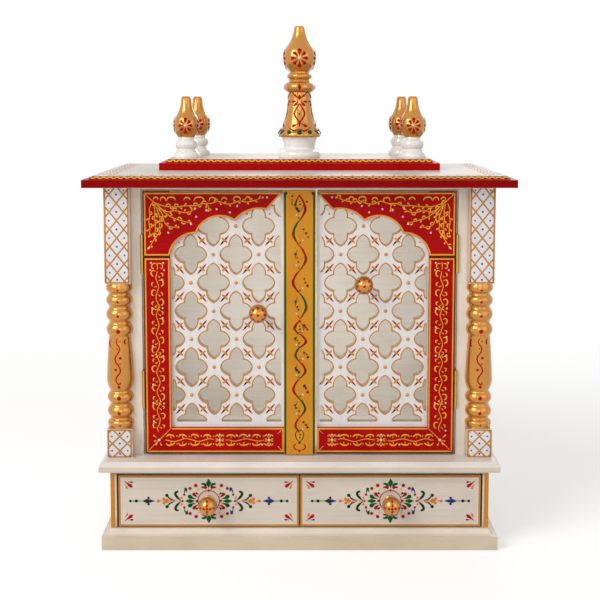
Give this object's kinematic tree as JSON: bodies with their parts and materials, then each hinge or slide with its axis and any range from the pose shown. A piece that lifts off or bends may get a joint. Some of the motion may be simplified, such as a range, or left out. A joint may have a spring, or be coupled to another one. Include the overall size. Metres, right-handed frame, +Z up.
{
  "type": "home shrine cabinet",
  "caption": "Free-standing home shrine cabinet with pierced lattice doors, turned columns, a stepped roof with finials, and drawers in its base.",
  "frame": {"origin": "on the floor under the middle of the overall box, drawer knobs included", "axes": "+Z up towards the tallest finial, +Y towards the flush back, -Y out of the front, +X right"},
  "size_m": [0.61, 0.359, 0.762],
  "materials": {
    "cream_enamel": "glossy cream enamel on wood",
    "painted_roof": "red enamel slopes, cream top, painted borders",
    "painted_column": "gold paint on turned wood, white patterned blocks",
    "painted_finial": "gold paint on turned wood with red flowers",
    "painted_lattice": "cream enamel with gold outlined piercings",
    "red_panel": "deep red enamel with gold vines",
    "gold_strip": "gold paint with a red and green vine",
    "gold_knob": "gold paint with red dots",
    "painted_drawer": "beige enamel with painted flowers",
    "drawer_wood": "plain sanded wood",
    "hinge_brass": "brushed brass"
  },
  "bodies": {
    "cabinet": {"plinth": "cream_enamel", "base_left_side": "cream_enamel", "base_right_side": "cream_enamel", "base_back": "cream_enamel", "drawer_divider": "cream_enamel", "drawer_top_rail": "cream_enamel", "shelf": "cream_enamel", "left_side_wall": "cream_enamel", "right_side_wall": "cream_enamel", "back_panel": "cream_enamel", "left_stile": "cream_enamel", "right_stile": "cream_enamel", "header_rail": "cream_enamel", "roof_board": "painted_roof", "roof_tier": "painted_roof", "left_column": "painted_column", "right_column": "painted_column", "front_centre_finial": "painted_finial", "back_centre_finial": "painted_finial", "front_left_finial": "painted_finial", "front_right_finial": "painted_finial", "back_left_finial": "painted_finial", "back_right_finial": "painted_finial", "left_hinge_fixed_leaves": "hinge_brass", "right_hinge_fixed_leaves": "hinge_brass"},
    "left_door": {"left_lattice": "painted_lattice", "left_door_arch": "red_panel", "left_door_stile": "red_panel", "left_door_rail": "red_panel", "centre_strip": "gold_strip", "left_door_knob": "gold_knob", "left_hinge_door_leaves": "hinge_brass"},
    "right_door": {"right_lattice": "painted_lattice", "right_door_arch": "red_panel", "right_door_stile": "red_panel", "right_door_rail": "red_panel", "right_door_knob": "gold_knob", "right_hinge_door_leaves": "hinge_brass"},
    "left_drawer": {"left_drawer_front": "painted_drawer", "left_drawer_tray": "drawer_wood", "left_drawer_knob": "gold_knob"},
    "right_drawer": {"right_drawer_front": "painted_drawer", "right_drawer_tray": "drawer_wood", "right_drawer_knob": "gold_knob"}
  },
  "joints": [
    {"name": "left_door_hinge", "type": "hinge", "parent": "cabinet", "child": "left_door", "pos_m": [-0.2282, -0.1174, 0.328], "axis": [0, 0, -1], "range_deg": [0, 105]},
    {"name": "right_door_hinge", "type": "hinge", "parent": "cabinet", "child": "right_door", "pos_m": [0.2282, -0.1174, 0.328], "axis": [0, 0, 1], "range_deg": [0, 105]},
    {"name": "left_drawer_slide", "type": "slide", "parent": "cabinet", "child": "left_drawer", "axis": [0, -1, 0], "range_m": [0, 0.2]},
    {"name": "right_drawer_slide", "type": "slide", "parent": "cabinet", "child": "right_drawer", "axis": [0, -1, 0], "range_m": [0, 0.2]}
  ]
}
